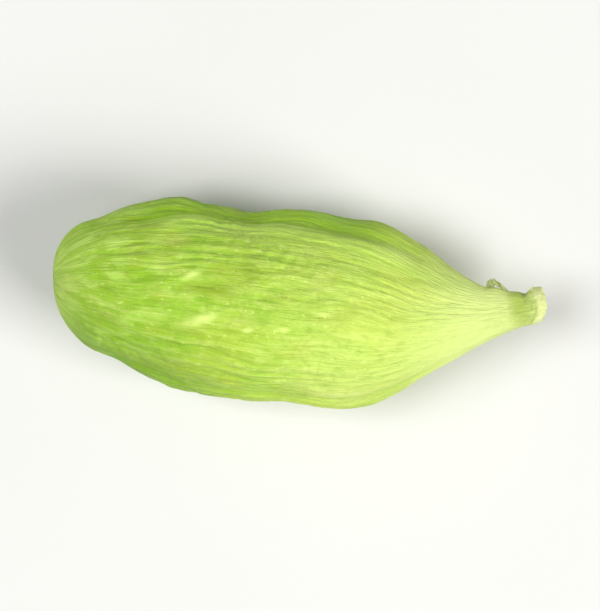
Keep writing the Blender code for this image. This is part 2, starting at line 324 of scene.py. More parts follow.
# Soft square lights: name, place, size, power and colour
LIGHTS = (
    ("key_light", (0.25, -0.11, 0.24), 0.2, 1.4, (1.0, 0.99, 0.95)),
    ("overhead_light", (-0.18, -0.01, 0.35), 0.2, 1.1, (1.0, 1.0, 1.0)),
)
SKY_STRENGTH = 0.2
FLOOR_REACH = 0.6
FLOOR_GAP = 0.01 * MM  # between the floor and the pod

# Colours, linear
# Painted shade, under the shade mark
PAINTED_SHADE_GREEN = (0.105, 0.260, 0.004)
# Fresh green of the blunt end's streaks, and of the painted shade in the furrows and on the
# back lobe
STREAK_AND_SHADE_GREEN = (0.300, 0.570, 0.008)
# The back lobe's painted shade towards the neck, lighter
LIGHTER_BACK_SHADE_GREEN = (0.490, 0.710, 0.025)
LEAF_GREEN = (0.335, 0.590, 0.038)
YELLOW_GREEN = (0.450, 0.615, 0.048)
# Pale skin, pale grain and paler crests, and also painted light where the husk is marked paler
PALE_GREEN = (0.665, 0.800, 0.195)
# Darker grain, and painted shade in the grooves
GRAIN_AND_GROOVE_SHADE_GREEN = (0.200, 0.350, 0.026)
# Darker patches, partly painted shade
PATCH_GREEN = (0.260, 0.370, 0.020)
# Painted highlight on the crown's edge and painted light on the blunt end
PAINTED_LIGHT_GREEN = (0.560, 0.840, 0.120)
STREAK_GREEN = (0.600, 0.900, 0.170)
OLIVE = (0.420, 0.500, 0.030)
NECK_PALE = (0.850, 1.000, 0.350)
NECK_SHADE = (0.480, 0.640, 0.090)
CREAM = (0.920, 1.000, 0.410)
FLECK_PALE = (0.760, 0.950, 0.240)
# Loose skin of the shred: its own dull grey-green, darkened further as painted shade
SHADED_SKIN_FLAP = (0.180, 0.215, 0.070)
SHADED_SKIN_FLAP_LIGHT = (0.340, 0.390, 0.150)
CUP_BROWN = (0.150, 0.130, 0.040)
STRAW = (0.520, 0.500, 0.200)
FLOOR_DARK = (0.64, 0.64, 0.63)
FLOOR_LIGHT = (0.68, 0.68, 0.67)

# The colours that the marks bring, from the first laid on to the last. The furrow and shade
# marks bring painted shade, and the cup mark the cup's brown and painted shade in the undercut
MARK_COLOURS = (
    ("furrow", STREAK_AND_SHADE_GREEN),
    ("shade", PAINTED_SHADE_GREEN),
    ("pale", NECK_PALE),
    ("band", NECK_SHADE),
    ("fleck", FLECK_PALE),
    ("lip", CREAM),
    ("cup", CUP_BROWN),
)


def smooth(t):
    """0 before 0, 1 after 1, and an S-curve between."""
    t = np.clip(t, 0.0, 1.0)
    return t * t * (3 - 2 * t)


def rising(t, rise_from, rise_to):
    return smooth((t - rise_from) / (rise_to - rise_from))


def window(t, rise_from, rise_to, fall_from, fall_to):
    """1 in the middle, fading to 0 towards both ends."""
    return rising(t, rise_from, rise_to) * (1 - rising(t, fall_from, fall_to))


def bell(distance, reach):
    return np.exp(-((distance / reach) ** 2))


def turn_between(angle, other):
    """The signed turn from one angle to another, from -pi to pi."""
    return (angle - other + math.pi) % (2 * math.pi) - math.pi


def area(x, angle, strength, degrees, reach, stretch):
    """How much of a soft area of the husk is at each place."""
    around = bell(turn_between(angle, math.radians(degrees)), math.radians(reach))
    return strength * around * window(x / LENGTH, *stretch)


def unit(vectors):
    return vectors / np.linalg.norm(vectors, axis=-1, keepdims=True)


def half_width(x):
    t = x / LENGTH
    swell = 1 - np.clip(1 - t / FULL_FROM, 0, 1) ** BLUNT_IN
    blunt = HALF_WIDTH * swell ** (1 / BLUNT_OUT)
    narrowing = np.clip((t - FULL_TO) / (NECK_FROM - FULL_TO), 0, 1)
    fullness = (1 + np.cos(math.pi * narrowing**SHOULDER_SKEW)) / 2
    shoulder = NECK_RADIUS + (HALF_WIDTH - NECK_RADIUS) * fullness
    return np.where(t < FULL_FROM, blunt, shoulder)


def slimming(x):
    """The share of the relief's height that is left where the pod narrows."""
    return np.minimum(1.0, half_width(x) / (SLIM_UNDER * HALF_WIDTH))


def centre(x):
    """The points of the centre line at each x."""
    belly = BELLY * rising(x, BELLY_FROM, BELLY_TO)
    blunt_end = np.maximum(0.0, BLUNT_CURL_TO - x) ** 2
    neck = np.maximum(0.0, x - NECK_CURL_FROM) ** 2
    y = BLUNT_CURL * blunt_end + NECK_CURL * neck - belly
    return np.stack([x, y, NECK_CURL_UP * neck], axis=-1)


def ring_axes(x):
    """Two directions square to the centre line at each x, one level and one upright."""
    step = 0.01 * MM
    along = unit(centre(x + step) - centre(x - step))
    level = unit(np.cross((0.0, 0.0, 1.0), along))
    return level, np.cross(along, level)


def outward(x, angle):
    """From the centre line at x towards this angle; a section is lower than it is wide."""
    level, upright = ring_axes(x)
    return np.cos(angle)[..., None] * level + np.sin(angle)[..., None] * HEIGHT_SHARE * upright


def swayed(angle, x):
    """The angle that a rib has at x: they wander, and those near the first furrow bow."""
    bow = np.minimum(((x / LENGTH - SWAY_CENTRE) / SWAY_SPAN) ** 2, 1.0)
    nearness = (1 + np.cos(angle - FURROWS[0])) / 2
    long_wave, short_wave = (2 * math.pi * x / length for length in WAVER_LENGTHS)
    waver = np.sin(long_wave + 2 * angle) + SHORT_WAVER * np.sin(short_wave + 5 * angle)
    return angle + SWAY * bow * nearness**2 + WAVER * waver


def lobes(angle, x):
    """The share of the radius that the furrows leave between the crowns of the lobes."""
    share = np.zeros_like(angle)
    for k, furrow in enumerate(FURROWS):
        span = (FURROWS[(k + 1) % len(FURROWS)] - furrow) % (2 * math.pi)
        across = ((angle - furrow) % (2 * math.pi)) / span
        share += np.where(across < 1, np.sin(math.pi * across) ** 2, 0)
    return 1 - LOBE_SWELL * (1 - share) * window(x / LENGTH, *LOBE_STRETCH)


def crest(across):
    """A rib's cross-section: 0 in the grooves at whole numbers, and 1 at its crest."""
    return np.abs(np.sin(math.pi * across)) ** RIB_ROUNDNESS


def rib_table():
    """The angles of the grooves between the ribs, and the share of the height of each."""
    draw = random.Random(RIB_SEED)
    play = [draw.uniform(-RIB_SPACING_PLAY, RIB_SPACING_PLAY) for _ in range(RIBS)]
    grooves = [(rib + play[rib]) * 2 * math.pi / RIBS for rib in range(RIBS)]
    grooves.append(grooves[0] + 2 * math.pi)
    tallness = [1 - RIB_HEIGHT_PLAY * draw.random() for _ in range(RIBS)]
    return np.array(grooves), np.array(tallness)


class HuskNoise:
    """Noise from -1 to 1 over the husk: random values on a lattice, with this step along
    the pod and this many values round it, and soft curves between them."""

    def __init__(self, draw, step, round_count):
        self.step, self.round_count = step, round_count
        self.values = draw.uniform(-1, 1, (int(LENGTH / step) + 4, round_count))

    def at(self, x, turn):
        row = np.clip(x / self.step + 1, 0, len(self.values) - 1.001)
        column = turn / (2 * math.pi) * self.round_count
        r, c = np.floor(row).astype(int), np.floor(column).astype(int)
        down, across = smooth(row - r), smooth(column - c)
        here, there = c % self.round_count, (c + 1) % self.round_count
        first = self.values[r, here] * (1 - across) + self.values[r, there] * across
        second = self.values[r + 1, here] * (1 - across) + self.values[r + 1, there] * across
        return first * (1 - down) + second * down


GROOVES, TALLNESS = rib_table()
RELIEF_DRAW = np.random.default_rng(RELIEF_SEED)
DRIFTS = HuskNoise(RELIEF_DRAW, RIB_DRIFT_STEP, RIB_DRIFTS_ROUND)
FADES = HuskNoise(RELIEF_DRAW, RIB_FADE_STEP, RIB_FADES_ROUND)
CALMS = HuskNoise(RELIEF_DRAW, RIB_CALM_STEP, RIB_CALMS_ROUND)
FIBRES = HuskNoise(RELIEF_DRAW, FIBRE_STEP, FIBRES_ROUND)
CRINKLES = HuskNoise(RELIEF_DRAW, CRINKLE_STEP, CRINKLES_ROUND)
DENTS = HuskNoise(RELIEF_DRAW, DENT_STEP, DENTS_ROUND)
PUCKERS = HuskNoise(RELIEF_DRAW, PUCKER_STEP, PUCKERS_ROUND)
PUCKER_PATCHES = HuskNoise(RELIEF_DRAW, PUCKER_PATCH_STEP, PUCKER_PATCHES_ROUND)
LIP_LUMPS = HuskNoise(RELIEF_DRAW, LENGTH, LIP_LUMPS_ROUND)
LIP_TATTERS = HuskNoise(RELIEF_DRAW, LENGTH, LIP_TEARS_ROUND)


def skin_columns(per_rib):
    """For each column of the skin, its place counted in ribs and its angle."""
    place = np.arange(RIBS * per_rib) / per_rib
    rib = place.astype(int)
    return place, GROOVES[rib] + (GROOVES[rib + 1] - GROOVES[rib]) * (place - rib)


def groove_depth(place, every):
    """How deep the grooves are at these places, counted in ribs: 1 in the middle of the
    deepest. With every at 2, only every second rib has a groove beside it."""
    nearest = (np.round(place / every) * every).astype(int) % RIBS
    return TALLNESS[nearest] * (1 - crest(place / every))


def tautness(x, angle):
    """How tight the skin is drawn, from 0 to 1."""
    return np.max([area(x, angle, *tight) for tight in TIGHT_AREAS], axis=0)


def pucker_relief(x, turn):
    bent = x + PUCKER_BEND * DRIFTS.at(x, turn)
    valleys = np.clip(1 - PUCKER_SHARPNESS * np.abs(PUCKERS.at(bent, turn)), 0, 1)
    patches = smooth(0.5 + PUCKER_PATCHES.at(x, turn)) * window(x / LENGTH, *PUCKER_STRETCH)
    return -PUCKER_DEPTH * valleys * patches


def rib_relief(x, angle, turn, place):
    """The grooves between the ribs, as a height below the crests and as a share of the
    deepest."""
    t = x / LENGTH
    place = place + RIB_DRIFT * DRIFTS.at(x, turn)
    apart = window(t, JOINED_BEFORE, SEPARATE_FROM, SEPARATE_TO, JOINED_AFTER)
    groove = groove_depth(place, 1) * apart + groove_depth(place, 2) * (1 - apart)
    groove = groove * (1 + RIB_FADE * FADES.at(x, turn))
    groove = groove * (1 - RIB_CALM * (1 + CALMS.at(x, turn)) / 2)
    groove = groove * (BLUNT_RIBS + (1 - BLUNT_RIBS) * smooth(x / RIBS_FROM))
    groove = groove * (1 - TAUTNESS * tautness(x, angle))
    below = bell(turn_between(angle, 1.5 * math.pi), PRESSED_WIDTH)
    pressed = PRESSED_SHARE * below * window(t, *PRESSED_STRETCH)
    return -RIB_HEIGHT * slimming(x) * groove * (1 - pressed), groove


def first_furrow(x):
    """The angle of the first furrow at each x."""
    return FURROWS[0] - FURROW_STRAY * window(x, *STRAY_RISE, *STRAY_FALL)


def furrow_relief(x, angle):
    """The furrows, as a height below the skin round them and as how much painted shade, in
    green, lies in them.
    """
    depth = np.zeros_like(angle)
    painted_furrow_shade = np.zeros_like(angle)
    furrows = (first_furrow(x), *FURROWS[1:])
    for furrow, ends, deepest, tint in zip(furrows, FURROW_ENDS, FURROW_DEPTHS, FURROW_SHADES):
        fade = window(x / LENGTH, *FURROW_RISE, *ends)
        near = bell(turn_between(angle, furrow), FURROW_WIDTH) * fade
        depth += deepest * near
        painted_furrow_shade += tint * near
    return -depth, painted_furrow_shade


def hollow_relief(x, angle):
    height = np.zeros_like(angle)
    for place, degrees, depth, reach, spread in HOLLOWS:
        around = bell(turn_between(angle, math.radians(degrees)), math.radians(spread))
        height -= depth * MM * bell(x - place * MM, reach * MM) * around
    return height


def back_lobe_shade(x, angle):
    """How much painted shade, in fresh green, lies on the lobe beyond the first furrow here."""
    past = -turn_between(angle, first_furrow(x))
    amount = sum(share * window(x / LENGTH, *stretch) for share, stretch in BACK_LOBE_SHADES)
    return amount * window(past, *BACK_LOBE_SHADE_ACROSS)


def painted_light(x, angle):
    """How much painted highlight lies on the edge of the crown, just before the first furrow,
    and painted light on the skin of the blunt end."""
    edge = area(x, angle - first_furrow(x), *CROWN_EDGE_HIGHLIGHT)
    return edge + area(x, angle, *BLUNT_END_PAINTED_LIGHT)


def painted_shade(x, angle):
    """How much painted shade, in darker green, lies low down at the back and on the blunt end's
    front.
    """
    most = SHADE_AT_BACK + SHADE_ON_BLUNT_HALF * window(x / LENGTH, *SHADED_BLUNT_HALF)
    return most * area(x, angle, *SHADED_BACK) + area(x, angle, *SHADED_FRONT)


def paling_and_painted_light(x, angle):
    """How much paler the husk is towards the neck, partly its own colour and partly painted
    light, and painted light at the blunt end and on the front of the shoulder. Painted shade
    takes it away.
    """
    pale = sum(area(x, angle, *paler) for paler in PALER_AND_LIT_AREAS)
    return pale * np.clip(1 - SHADE_OVER_PALING * painted_shade(x, angle), 0, 1)


def neck_paleness(x, angle):
    """How pale the neck is; its +Y side stays green for longer, as painted shade."""
    later = area(x, angle, *NECK_SHADED_SIDE)
    return NECK_PALENESS * rising(x / LENGTH - later, *NECK_PALE_RISE)


def neck_band(x, angle):
    """The greyish ring round the neck behind the lip, paler on its -Y side and at the lip."""
    paler = area(x, angle, *BAND_PALER_SIDE)
    behind = rising(x, *BAND_RISE) * (1 - BAND_FADE * rising(x, *BAND_FADE_AT))
    return BAND_STRENGTH * (1 - paler) * behind


def neck_relief(x, angle):
    waist = WAIST_DEPTH * bell(x - WAIST_AT, WAIST_LENGTH)
    around = bell(turn_between(angle, UNDERCUT_ANGLE), UNDERCUT_WIDTH)
    flare = FLARE_HEIGHT - LIP_PINCH * np.cos(angle) ** 4
    flare = flare * smooth((x - FLARE_FROM) / FLARE_LENGTH)
    return flare - waist - UNDERCUT_DEPTH * bell(x - UNDERCUT_AT, UNDERCUT_LENGTH) * around


def undercut_shade(x, angle):
    """Painted shade in the deepest of the undercut, laid on with the cup's brown."""
    around = bell(turn_between(angle, UNDERCUT_ANGLE), UNDERCUT_WIDTH / 2)
    return UNDERCUT_SHADE * bell(x - UNDERCUT_SHADE_AT, UNDERCUT_SHADE_LENGTH) * around


def shared_marks(x, angle, turn):
    """The marks that the husk, the lip, the cup and the dimple all have."""
    return {
        # painted highlight on the crown's edge and painted light on the blunt end
        "edge": painted_light(x, angle),
        # paler colour, partly painted light
        "paling_and_painted_light": paling_and_painted_light(x, angle),
        "pale": neck_paleness(x, angle),
        "band": neck_band(x, angle),
        "along": x / LENGTH,
        "turn": turn,
    }


def skin_patch(x, place, turn):
    """The husk at each of these x and columns: its points, its outward directions, and
    the marks that its material reads."""
    x = x[:, None] + lip_reach(turn) * smooth((x[:, None] - TILT_FROM) / TILT_LENGTH)
    turn = turn + 0 * x
    place = place + 0 * x
    angle = swayed(turn, x)
    ribs, groove = rib_relief(x, angle, turn, place)
    furrows, furrow = furrow_relief(x, angle)
    fine = FIBRE_HEIGHT * FIBRES.at(x, turn) + CRINKLE_HEIGHT * CRINKLES.at(x, turn)
    fine += DENT_HEIGHT * DENTS.at(x, turn) + pucker_relief(x, turn)
    swell = SHRED_SWELL * bell(x - SHRED_AT, SHRED_LENGTH)
    swell = swell * bell(turn_between(angle, SHRED_ANGLE), SHRED_WIDTH)
    relief = ribs + furrows + hollow_relief(x, angle) + fine * slimming(x) + swell
    relief += neck_relief(x, angle)
    away = outward(x, angle)
    points = centre(x) + (half_width(x) * lobes(angle, x) + relief)[..., None] * away
    marks = shared_marks(x, angle, turn) | {
        "groove": groove * slimming(x),
        "furrow": furrow,
        "shade": painted_shade(x, angle),
        "back": back_lobe_shade(x, angle),
        "lip": np.zeros_like(x),
        # the cup's brown, here as painted shade in the undercut
        "cup": undercut_shade(x, angle),
    }
    return points, unit(away), marks


def plain_patch(x, radius, turn, brown, cream=0.0):
    """Rings with none of the husk's relief, for the lip and inside the cup and dimple, with
    how much of the cup's brown and the lip's cream they have. All of it may vary round them."""
    x = x + 0 * turn
    turn = turn + 0 * x
    angle = swayed(turn, x)
    away = outward(x, angle)
    marks = shared_marks(x, angle, turn)
    marks["band"] = marks["band"] * (1 - cream)
    marks |= {name: np.zeros_like(x) for name in ("groove", "furrow", "shade", "back")}
    marks |= {"lip": cream + 0 * x, "cup": brown + 0 * x}
    return centre(x) + (radius + 0 * x)[..., None] * away, unit(away), marks


def dimple_patch(turn):
    """The dimple in the blunt end, from its middle out to the first ring of the husk."""
    share = np.linspace(0, 1, DIMPLE_RINGS, endpoint=False)[1:, None]
    rim = half_width(np.array(FIRST_RING))
    radius = rim * share
    depth = DIMPLE_DEPTH * (1 - rising(radius, DIMPLE_RADIUS / 2, rim))
    brown = DIMPLE_SHADE * (1 - smooth(share / DIMPLE_SHADE_TO))
    return plain_patch(depth, radius, turn, brown)


def lip_reach(turn):
    """How far past the end of the centre line each side of the lip stands."""
    bulge = np.where(turn < math.pi, LIP_BULGE_ABOVE, LIP_BULGE_BELOW) * np.sin(turn) ** 2
    return bulge + LIP_TILT * np.cos(turn) - LIP_BACK


def lip_patch(turn):
    """The rolled lip of the neck, from the neck's own surface over and into the cup."""
    lumps = LIP_UNEVENNESS * LIP_LUMPS.at(np.zeros_like(turn), turn)
    lumps += LIP_TEARS * LIP_TATTERS.at(np.zeros_like(turn), turn)
    roll = np.linspace(LIP_FROM, math.pi, LIP_RINGS)[:, None]
    rise = 1 + np.clip(np.sin(roll), 0, 1) * lumps
    x = LENGTH - LIP_LENGTH * (1 - rise * np.sin(roll)) + lip_reach(turn)
    pinch = LIP_PINCH * np.cos(turn) ** 4 * (1 + np.cos(roll)) / 2
    reach = LIP_MIDDLE + LIP_RADIUS * rise * np.cos(roll) - pinch
    brown = rising(roll / math.pi, LIP_BROWN_FROM, 1)
    pale_from = LIP_PALE_FROM - LIP_PALE_EARLIER * np.cos(turn) ** 2
    cream = smooth((roll - pale_from) / (LIP_PALE_TO - LIP_PALE_FROM))
    return plain_patch(x, reach, turn, brown, cream)


def cup_patches(turn):
    """The cup's wall, and its floor."""
    mouth = LIP_MIDDLE - LIP_RADIUS
    floor_x = LENGTH - CUP_DEPTH
    down = np.linspace(0, 1, CUP_RINGS + 1)[1:, None]
    x = (LENGTH - LIP_LENGTH + lip_reach(turn)) * (1 - down) + floor_x * down
    wall = plain_patch(x, mouth * (1 - (1 - CUP_TAPER) * down), turn, brown=1.0)
    inward = np.linspace(1, 0, FLOOR_RINGS + 1, endpoint=False)[1:, None]
    x = floor_x + CUP_FLOOR_RISE * (1 - inward**2)
    floor = plain_patch(x, mouth * CUP_TAPER * inward, turn, brown=1.0)
    return [wall, floor]


def skin_patches():
    """The skin from the dimple to the floor of the cup, as patches of rings. Those of the
    blunt end and of the neck have half as many columns as the body."""
    place, turn = skin_columns(COLUMNS_PER_RIB)
    half_place, half_turn = place[::2], turn[::2]
    share = np.linspace(math.sqrt(FIRST_RING / BLUNT_TO), 1, BLUNT_RINGS, endpoint=False)
    body_x = np.linspace(BLUNT_TO, NECK_FROM_X, BODY_RINGS)
    neck_x = np.linspace(NECK_FROM_X, NECK_TO_X, NECK_RINGS + 1)[1:]
    return [
        dimple_patch(half_turn),
        skin_patch(BLUNT_TO * share**2, half_place, half_turn),
        skin_patch(body_x, place, turn),
        skin_patch(neck_x, half_place, half_turn),
        lip_patch(half_turn),
        *cup_patches(half_turn),
    ]


def set_down(points):
    """How far the points move to stand over the solid's place, with the blunt end on its
    blunt end, and on their lowest spot."""
    low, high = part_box("pod")
    move = (np.array(low) + np.array(high)) / 2 - (points.min(axis=0) + points.max(axis=0)) / 2
    move[0] = low[0] - points[:, 0].min()
    move[2] = -(points[:, 2].min() + FLAT_SPOT_DEPTH)
    return move


def spot(points, x, y, half_length, half_breadth, degrees):
    """How near each point is to a mark seen from above, with 1 in the mark's middle."""
    turn = math.radians(degrees)
    dx, dy = points[:, 0] - x * MM, points[:, 1] - y * MM
    along = dx * math.cos(turn) + dy * math.sin(turn)
    across = dy * math.cos(turn) - dx * math.sin(turn)
    return bell(along, half_length * MM) * bell(across, half_breadth * MM)


def flecks_and_creases(points):
    """The height that these add to the skin, and how much of a fleck is at each point."""
    height = np.zeros(len(points))
    fleck = np.zeros(len(points))
    above = rising(points[:, 2], *FLECKS_ABOVE)
    for x, y, half_length, half_breadth, lift, degrees in FLECKS:
        near = above * spot(points, x, y, half_length, half_breadth, degrees)
        height += lift * MM * near
        fleck += near
    for x_from, x_to, y, half_breadth, depth in CREASES:
        run = smooth((points[:, 0] - x_from * MM) / CREASE_END)
        run = run * smooth((x_to * MM - points[:, 0]) / CREASE_END)
        across = points[:, 1] - y * MM - CREASE_WANDER * np.sin(points[:, 0] / CREASE_WAVE)
        height -= depth * MM * above * run * bell(across, half_breadth * MM)
    return height, np.clip(fleck, 0, 1)


def patchiness_and_painted_light(points):
    """How much paler each point is for the patches near it; below 0 where it is darker. Partly
    the skin's own blotches, partly painted light and painted shade.
    """
    change = np.zeros(len(points))
    above = rising(points[:, 2], *PATCHES_ABOVE)
    for x, y, half_length, half_breadth, paler, degrees in PATCHES_AND_PAINTED_LIGHT:
        change += paler * above * spot(points, x, y, half_length, half_breadth, degrees)
    return change


def ring_faces(first, second):
    """Faces that join two rings, given as ranges of point numbers. One of the rings may
    have twice as many points as the other."""
    fine, coarse = (first, second) if len(first) >= len(second) else (second, first)
    halving = len(fine) > len(coarse)
    faces = []
    for k, a in enumerate(coarse):
        b = coarse[(k + 1) % len(coarse)]
        if halving:
            p, q, r = (fine[(2 * k + step) % len(fine)] for step in range(3))
            faces += [(p, q, a), (q, b, a), (q, r, b)]
        else:
            faces.append((fine[k], fine[(k + 1) % len(fine)], b, a))
    if fine is second:
        faces = [face[::-1] for face in faces]
    return faces


def closing_faces(ring, hub):
    """Triangles from each side of a ring to one point in its middle."""
    return [(hub, a, ring[(k + 1) % len(ring)]) for k, a in enumerate(ring)]


def add_mark(mesh, name, values):
    mark = mesh.attributes.new(name, "FLOAT", "POINT")
    mark.data.foreach_set("value", np.asarray(values, np.float32))


def fibre_space(along, turn):
    """A place on the husk in millimetres that follows the ribs, for the material's grain:
    x along the pod, and y and z round a drum as wide as the pod."""
    drum = HALF_WIDTH / MM
    return np.stack([along * LENGTH / MM, drum * np.cos(turn), drum * np.sin(turn)], axis=-1)


def joined(patches):
    """The points, outward directions and marks of all patches, each in one array, and the
    range of point numbers of each ring."""
    counts = [len(ring) for points, _, _ in patches for ring in points]
    ends = np.cumsum(counts).tolist()
    ranges = [range(end - count, end) for count, end in zip(counts, ends)]
    points = np.concatenate([points.reshape(-1, 3) for points, _, _ in patches])
    away = np.concatenate([away.reshape(-1, 3) for _, away, _ in patches])
    marks = {
        name: np.concatenate([patch_marks[name].ravel() for _, _, patch_marks in patches])
        for name in patches[0][2]
    }
    return points, away, marks, ranges


def husk():
    """The pod's skin as one closed mesh, and how far it was moved from the centre line's
    own place."""
    points, away, marks, ranges = joined(skin_patches())
    first_hub, last_hub = len(points), len(points) + 1
    for ring in (ranges[0], ranges[-1]):
        points = np.vstack([points, points[ring].mean(axis=0)])
        away = np.vstack([away, away[ring[0]]])
        marks = {name: np.append(values, values[ring[0]]) for name, values in marks.items()}

    move = set_down(points)
    points = points + move
    height, marks["fleck"] = flecks_and_creases(points)
    marks["patch"] = patchiness_and_painted_light(points)
    points = points + height[:, None] * away
    points[:, 2] = np.maximum(points[:, 2], 0.0)

    faces = [face[::-1] for face in closing_faces(ranges[0], first_hub)]
    for first, second in zip(ranges, ranges[1:]):
        faces += ring_faces(first, second)
    faces += closing_faces(ranges[-1], last_hub)
    mesh = bpy.data.meshes.new("pod_husk")
    mesh.from_pydata(points.tolist(), [], faces)
    mesh.shade_smooth()
    turn = marks.pop("turn")
    for name, values in marks.items():
        add_mark(mesh, name, values)
    grain = mesh.attributes.new("grain", "FLOAT_VECTOR", "POINT")
    grain.data.foreach_set("vector", fibre_space(marks["along"], turn).ravel())
    return mesh, move


def add_node(tree, kind, inputs=None, **settings):
    """A new node with these settings. inputs gives sockets by name or number, each with a
    value or with the socket that feeds it."""
    node = tree.nodes.new(kind)
    for name, value in settings.items():
        setattr(node, name, value)
    for key, value in (inputs or {}).items():
        if isinstance(value, bpy.types.NodeSocket):
            tree.links.new(value, node.inputs[key])
        else:
            node.inputs[key].default_value = value
    return node


def mark_value(tree, name):
    return add_node(tree, "ShaderNodeAttribute", attribute_name=name).outputs["Fac"]


def grain_noise(tree, scale, detail=3.0, roughness=0.55, offset=(0, 0, 0)):
    """Noise over the husk, with this many cells a millimetre along and across the ribs."""
    grain = add_node(tree, "ShaderNodeAttribute", attribute_name="grain").outputs["Vector"]
    along, across = scale
    place = add_node(
        tree,
        "ShaderNodeMapping",
        {"Vector": grain, "Scale": (along, across, across), "Location": offset},
    )
    noise = add_node(
        tree,
        "ShaderNodeTexNoise",
        {
            "Vector": place.outputs[0],
            "Scale": 1.0,
            "Detail": detail,
            "Roughness": roughness,
        },
    )
    return noise.outputs["Fac"]


def object_noise(tree, cells, detail):
    """Noise that is fixed to the object, with this many cells a metre."""
    place = add_node(tree, "ShaderNodeTexCoord").outputs["Object"]
    inputs = {"Vector": place, "Scale": cells, "Detail": detail}
    return add_node(tree, "ShaderNodeTexNoise", inputs).outputs["Fac"]


def ranged(tree, value, from_low, from_high, to_low=0.0, to_high=1.0):
    """A value brought from one range to another, and held inside it."""
    node = add_node(
        tree,
        "ShaderNodeMapRange",
        {0: value, 1: from_low, 2: from_high, 3: to_low, 4: to_high},
        interpolation_type="SMOOTHSTEP",
    )
    return node.outputs[0]


def maths(tree, operation, first, second):
    node = add_node(tree, "ShaderNodeMath", {0: first, 1: second}, operation=operation)
    return node.outputs[0]


def mixed(tree, factor, first, second):
    """Two colours mixed; a colour is three numbers or a socket."""
    inputs = {0: factor}
    for key, colour in ((6, first), (7, second)):
        is_socket = isinstance(colour, bpy.types.NodeSocket)
        inputs[key] = colour if is_socket else (*colour, 1.0)
    return add_node(tree, "ShaderNodeMix", inputs, data_type="RGBA").outputs[2]


def layered(tree, colour, layers):
    """A colour with others laid over it in turn, each given as its share and its colour."""
    for share, tint in layers:
        colour = mixed(tree, share, colour, tint)
    return colour


def new_material(name):
    material = bpy.data.materials.new(name)
    material.use_nodes = True
    return material, material.node_tree, material.node_tree.nodes["Principled BSDF"]


def ground_colour(tree):
    """The husk before its grain: yellower away from the blunt end, with olive and pale
    blotches, and paler where it is marked so, partly as painted light."""
    broad = grain_noise(tree, (0.25, 0.4), detail=2.0)
    olive = grain_noise(tree, (0.8, 1.0), offset=(5.0, 2.0, 7.0))
    blotches = grain_noise(tree, (1.2, 1.7), offset=(1.0, 6.0, 2.0))
    ripe = ranged(tree, mark_value(tree, "along"), 0.05, 0.5, 0.2, 1.0)
    layers = (
        (maths(tree, "MULTIPLY", ranged(tree, broad, 0.36, 0.64), ripe), YELLOW_GREEN),
        (ranged(tree, olive, 0.54, 0.68, 0.0, 0.5), OLIVE),
        (mark_value(tree, "paling_and_painted_light"), PALE_GREEN),
        (ranged(tree, blotches, 0.53, 0.67, 0.0, 0.3), PALE_GREEN),
    )
    return layered(tree, LEAF_GREEN, layers)


def grained(tree, colour, threads, mottles):
    """Adds the grain, paler and darker, and then pale crests, partly painted highlight, and
    dark grooves of painted shade.
    """
    streaks = grain_noise(tree, (0.3, 3.0), detail=4.0, roughness=0.65)
    for noise, share in ((streaks, 0.22), (threads, 0.3), (mottles, 0.3)):
        lighter = ranged(tree, noise, 0.5, 0.7, 0.0, share)
        darker = ranged(tree, noise, 0.5, 0.3, 0.0, share)
        colour = layered(tree, colour, ((lighter, PALE_GREEN), (darker, GRAIN_AND_GROOVE_SHADE_GREEN)))
    groove = mark_value(tree, "groove")
    high = ranged(tree, groove, 0.22, 0.0)
    pale_and_lit_crests = maths(tree, "MULTIPLY", high, ranged(tree, threads, 0.42, 0.6))
    deep = ranged(tree, groove, 0.35, 1.0)
    shade_in_grooves = maths(tree, "MULTIPLY", deep, ranged(tree, mottles, 0.3, 0.55))
    layers = (
        (maths(tree, "MULTIPLY", pale_and_lit_crests, 0.3), PALE_GREEN),
        (maths(tree, "MULTIPLY", shade_in_grooves, 0.36), GRAIN_AND_GROOVE_SHADE_GREEN),
    )
    return layered(tree, colour, layers)


def patched(tree, colour, mottles):
    """Adds the listed patches, partly painted light and painted shade, broken up by the
    mottles.
    """
    broken = ranged(tree, mottles, 0.3, 0.6, 0.6, 1.3)
    for most, tint in ((1.0, PALE_GREEN), (-1.0, PATCH_GREEN)):
        share = ranged(tree, mark_value(tree, "patch"), 0.0, most)
        colour = mixed(tree, maths(tree, "MULTIPLY", share, broken), colour, tint)
    return colour


def fanned(tree, colour):
    """Adds pale and green streaks to the blunt end."""
    fans = grain_noise(tree, (1.1, 1.8), detail=2.0, offset=(2.0, 4.0, 9.0))
    blunt = ranged(tree, mark_value(tree, "along"), 0.3, 0.08)
    for high, tint in ((0.64, STREAK_GREEN), (0.36, STREAK_AND_SHADE_GREEN)):
        share = maths(tree, "MULTIPLY", ranged(tree, fans, 0.5, high, 0.0, 0.5), blunt)
        colour = mixed(tree, share, colour, tint)
    return colour


def husk_colour(tree):
    threads = grain_noise(tree, (0.7, 9.0), detail=4.0, roughness=0.7, offset=(3.0, 8.0, 2.0))
    mottles = grain_noise(tree, (1.9, 3.0), detail=4.0, roughness=0.65, offset=(9.0, 1.0, 5.0))
    specks = grain_noise(tree, (3.4, 5.0), detail=2.0, offset=(4.0, 9.0, 3.0))
    colour = grained(tree, ground_colour(tree), threads, mottles)
    colour = patched(tree, colour, mottles)
    colour = mixed(tree, mark_value(tree, "edge"), colour, PAINTED_LIGHT_GREEN)
    colour = fanned(tree, colour)
    colour = mixed(tree, ranged(tree, specks, 0.64, 0.72, 0.0, 0.45), colour, FLECK_PALE)
    # Painted shade on the lobe beyond the first furrow, lighter towards the neck, then the
    # marks' colours
    far = ranged(tree, mark_value(tree, "along"), 0.6, 0.72)
    back = mixed(tree, far, STREAK_AND_SHADE_GREEN, LIGHTER_BACK_SHADE_GREEN)
    marked = (("back", back), *MARK_COLOURS)
    return layered(tree, colour, [(mark_value(tree, name), tint) for name, tint in marked])


